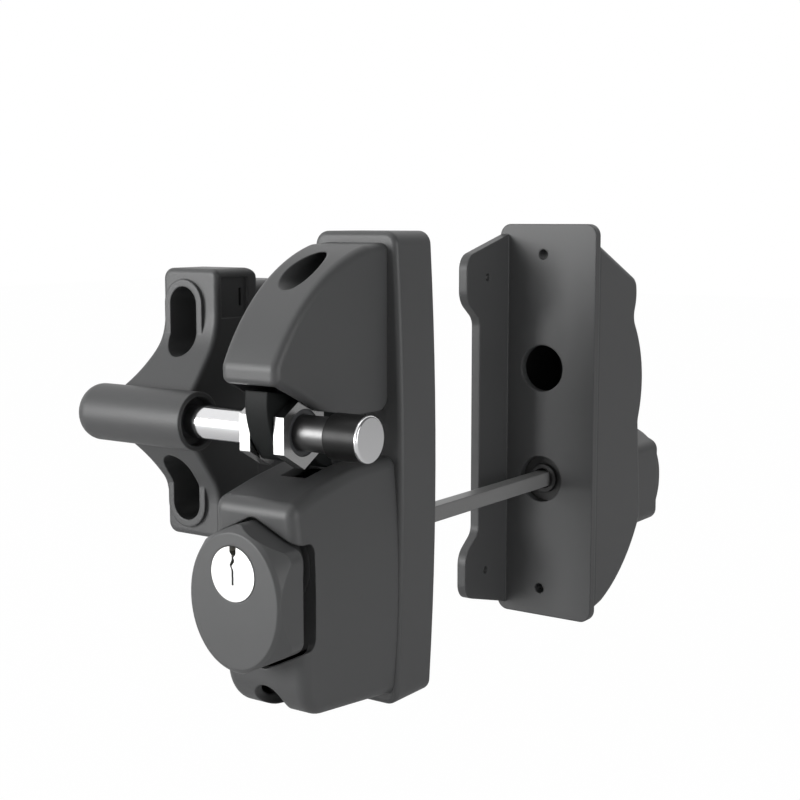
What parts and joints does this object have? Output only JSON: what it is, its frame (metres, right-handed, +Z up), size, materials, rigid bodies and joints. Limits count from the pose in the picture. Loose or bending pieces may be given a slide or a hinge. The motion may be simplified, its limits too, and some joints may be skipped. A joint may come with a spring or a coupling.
{
  "type": "keyed gate latch",
  "caption": "Keyed gate latch: a post-mounted latch with a pull knob and rotating jaw, a striker with a chrome pin for the gate, and a far-side unit on a square rod.",
  "frame": {"origin": "middle of the latch's back face, the face that is screwed to the post", "axes": "+X along the striker pin towards its head, +Y into the post towards the far-side unit, +Z up"},
  "size_m": [0.125, 0.2858, 0.171],
  "materials": {
    "charcoal_plastic": "satin, fine-grained moulding",
    "charcoal_casting": "satin powder coat",
    "chrome": "polished plating",
    "jaw_black": "black moulding",
    "plug_bright": "bright plated face",
    "steel": "zinc-plated",
    "rod_dark": "dark-coated bar",
    "spring_steel": "bright wire",
    "brass": "plain",
    "ring_dark": "dark insert",
    "bush_grey": "grey moulding"
  },
  "bodies": {
    "latch": {"latch_base": "charcoal_plastic", "back_plate": "charcoal_plastic", "cover_screws": "steel", "latch_hood": "charcoal_plastic", "lower_housing": "charcoal_plastic", "stem_guide": "charcoal_plastic", "jaw_pivot_pin": "steel", "lever_pivot_pin": "steel", "jaw_spring": "spring_steel", "knob_spring": "spring_steel", "lever_spring": "spring_steel", "outer_plate": "charcoal_plastic", "outer_housing": "charcoal_plastic", "rod_bush": "bush_grey"},
    "jaw": {"jaw": "jaw_black"},
    "striker": {"striker_bracket": "charcoal_casting", "striker_rear_block": "charcoal_plastic", "bracket_screws": "steel", "striker_pin": "chrome", "pin_flange": "chrome", "pin_lock_nut": "chrome", "nut_insert_ring": "ring_dark", "pin_set_screw": "steel"},
    "knob": {"release_knob": "charcoal_plastic", "knob_stem": "charcoal_plastic", "spring_collar": "steel", "stem_clip": "steel", "lock_barrel": "brass"},
    "lever": {"release_lever": "steel"},
    "far_knob": {"outer_knob": "charcoal_plastic", "outer_stem": "charcoal_plastic", "outer_barrel": "brass"},
    "key_lock": {"key_plug": "plug_bright", "plug_wafers": "brass", "plug_clip": "steel", "lock_cam": "steel", "drive_rod": "rod_dark", "outer_plug": "plug_bright", "outer_plug_clip": "steel"}
  },
  "joints": [
    {"name": "striker_travel", "type": "slide", "parent": "latch", "child": "striker", "axis": [0, -1, 0], "range_m": [0, 0.018]},
    {"name": "jaw_turn", "type": "hinge", "parent": "latch", "child": "jaw", "pos_m": [0, -0.0475, 0.0295], "axis": [1, 0, 0], "range_deg": [-90, 0]},
    {"name": "knob_pull", "type": "slide", "parent": "latch", "child": "knob", "axis": [0, -1, 0], "range_m": [0, 0.008], "stiffness_N_per_m": 600, "springref_m": -0.012, "deforming": ["knob_spring"]},
    {"name": "lever_turn", "type": "hinge", "parent": "latch", "child": "lever", "pos_m": [0, -0.012, 0.008], "axis": [1, 0, 0], "range_deg": [-14.24, 0], "deforming": ["lever_spring"]},
    {"name": "far_knob_travel", "type": "slide", "parent": "latch", "child": "far_knob", "axis": [0, -1, 0], "range_m": [0, 0.008]},
    {"name": "key_turn", "type": "hinge", "parent": "knob", "child": "key_lock", "pos_m": [0, 0, -0.0242], "axis": [0, 1, 0], "range_deg": [0, 90]}
  ],
  "couplings": [
    {"joint": "jaw_turn", "follows": "striker_travel", "rad_per_m": -87.266},
    {"joint": "lever_turn", "follows": "knob_pull", "rad_per_m": -31.056},
    {"joint": "far_knob_travel", "follows": "knob_pull", "ratio": 1}
  ]
}
